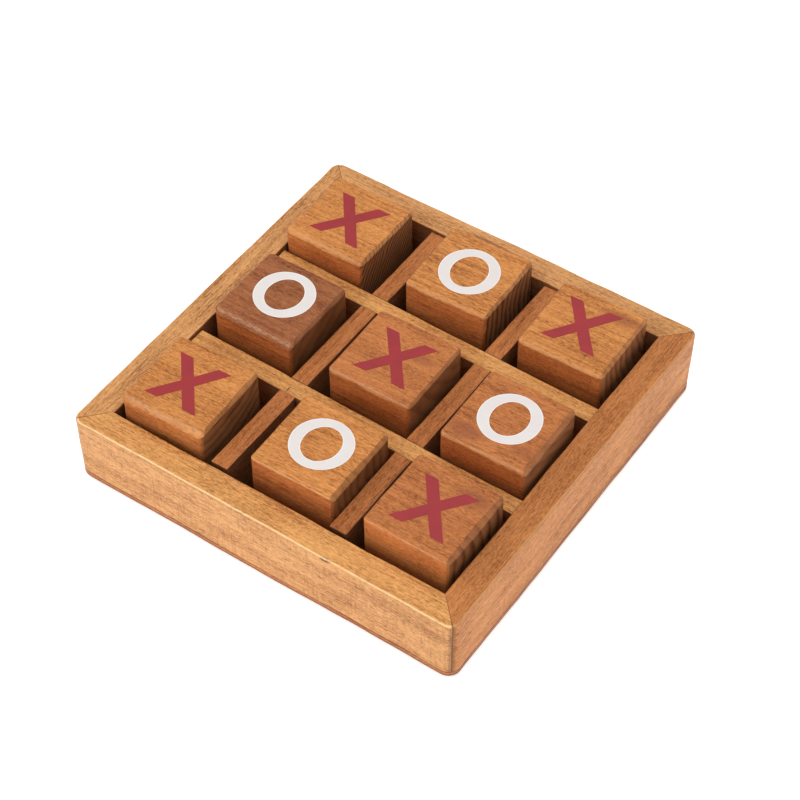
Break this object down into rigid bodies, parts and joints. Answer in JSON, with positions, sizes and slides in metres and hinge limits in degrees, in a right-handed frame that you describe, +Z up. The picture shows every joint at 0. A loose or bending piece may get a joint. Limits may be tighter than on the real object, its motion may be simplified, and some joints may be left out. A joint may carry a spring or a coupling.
{
  "type": "tic tac toe set",
  "caption": "Square wooden tray split into a grid of wells, each holding a loose square block printed with a cross or a ring for playing tic tac toe.",
  "frame": {"origin": "middle of the tray's underside, on the surface it stands on", "axes": "+Z up through the blocks, +X along the front rail to the right, +Y from the front rail to the back rail"},
  "size_m": [0.14, 0.14, 0.0331],
  "materials": {
    "panel_wood": "oiled plywood, dull",
    "rail_wood": "light honey stain, satin, hand sanded",
    "long_divider_wood": "light honey stain, satin",
    "short_divider_wood": "red-brown stain, satin",
    "block_wood": "orange-brown stain, satin, worn edges",
    "dark_block_wood": "darker red-brown stain, satin, worn edges",
    "red_print": "thin matt print film",
    "white_print": "thin matt print film"
  },
  "bodies": {
    "tray": {"base_panel": "panel_wood", "front_rail": "rail_wood", "right_rail": "rail_wood", "back_rail": "rail_wood", "left_rail": "rail_wood", "long_divider_front": "long_divider_wood", "long_divider_back": "long_divider_wood", "short_divider_front_left": "short_divider_wood", "short_divider_middle_left": "short_divider_wood", "short_divider_back_left": "short_divider_wood", "short_divider_front_right": "short_divider_wood", "short_divider_middle_right": "short_divider_wood", "short_divider_back_right": "short_divider_wood"},
    "front_left_block": {"block_front_left": "block_wood", "cross_front_left": "red_print"},
    "front_middle_block": {"block_front_middle": "block_wood", "ring_front_middle": "white_print"},
    "front_right_block": {"block_front_right": "block_wood", "cross_front_right": "red_print"},
    "middle_left_block": {"block_middle_left": "dark_block_wood", "ring_middle_left": "white_print"},
    "centre_block": {"block_centre": "block_wood", "cross_centre": "red_print"},
    "middle_right_block": {"block_middle_right": "block_wood", "ring_middle_right": "white_print"},
    "back_left_block": {"block_back_left": "block_wood", "cross_back_left": "red_print"},
    "back_middle_block": {"block_back_middle": "block_wood", "ring_back_middle": "white_print"},
    "back_right_block": {"block_back_right": "block_wood", "cross_back_right": "red_print"}
  },
  "joints": [
    {"name": "lift_front_left_block", "type": "slide", "parent": "tray", "child": "front_left_block", "axis": [0, 0, 1], "range_m": [0, 0.04]},
    {"name": "lift_front_middle_block", "type": "slide", "parent": "tray", "child": "front_middle_block", "axis": [0, 0, 1], "range_m": [0, 0.04]},
    {"name": "lift_front_right_block", "type": "slide", "parent": "tray", "child": "front_right_block", "axis": [0, 0, 1], "range_m": [0, 0.04]},
    {"name": "lift_middle_left_block", "type": "slide", "parent": "tray", "child": "middle_left_block", "axis": [0, 0, 1], "range_m": [0, 0.04]},
    {"name": "lift_centre_block", "type": "slide", "parent": "tray", "child": "centre_block", "axis": [0, 0, 1], "range_m": [0, 0.04]},
    {"name": "lift_middle_right_block", "type": "slide", "parent": "tray", "child": "middle_right_block", "axis": [0, 0, 1], "range_m": [0, 0.04]},
    {"name": "lift_back_left_block", "type": "slide", "parent": "tray", "child": "back_left_block", "axis": [0, 0, 1], "range_m": [0, 0.04]},
    {"name": "lift_back_middle_block", "type": "slide", "parent": "tray", "child": "back_middle_block", "axis": [0, 0, 1], "range_m": [0, 0.04]},
    {"name": "lift_back_right_block", "type": "slide", "parent": "tray", "child": "back_right_block", "axis": [0, 0, 1], "range_m": [0, 0.04]}
  ]
}
